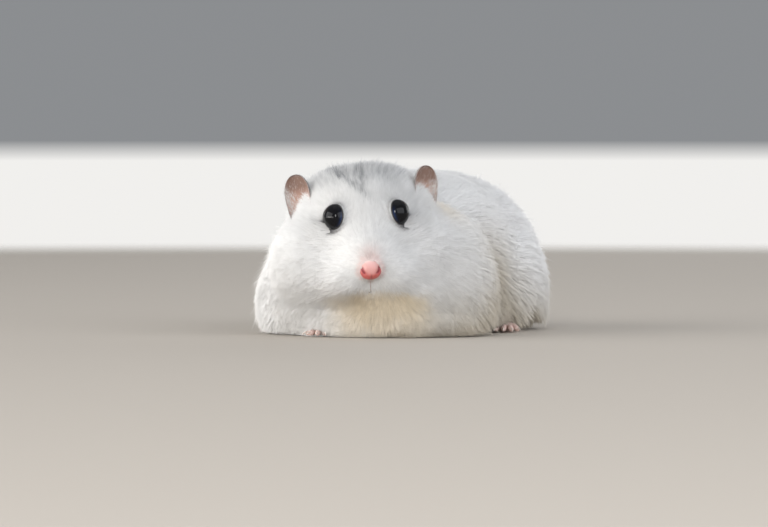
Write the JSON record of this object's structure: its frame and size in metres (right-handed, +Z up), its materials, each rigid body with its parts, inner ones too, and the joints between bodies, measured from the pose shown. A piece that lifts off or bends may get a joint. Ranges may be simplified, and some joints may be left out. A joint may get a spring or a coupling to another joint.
{
  "type": "winter white dwarf hamster model",
  "caption": "Life-size still model of a white winter white dwarf hamster crouched flat on its belly, with its head turned to its left.",
  "frame": {"origin": "on the floor, under the middle of the box round the animal", "axes": "+Z up, the trunk faces -Y, the animal's left side is at +X"},
  "size_m": [0.0526, 0.0792, 0.0352],
  "materials": {
    "coat_white": "soft white fur",
    "ear_skin": "thin bare skin",
    "nose_skin": "bare pink skin",
    "eye_black": "wet black gloss"
  },
  "bodies": {
    "root": {"head": "coat_white", "trunk": "coat_white", "foreleg_left": "coat_white", "foreleg_right": "coat_white", "hindleg_left": "coat_white", "hindleg_right": "coat_white", "tail": "coat_white", "ear_left": "ear_skin", "ear_right": "ear_skin", "eye_left": "eye_black", "eye_right": "eye_black", "nose": "nose_skin"}
  },
  "joints": []
}
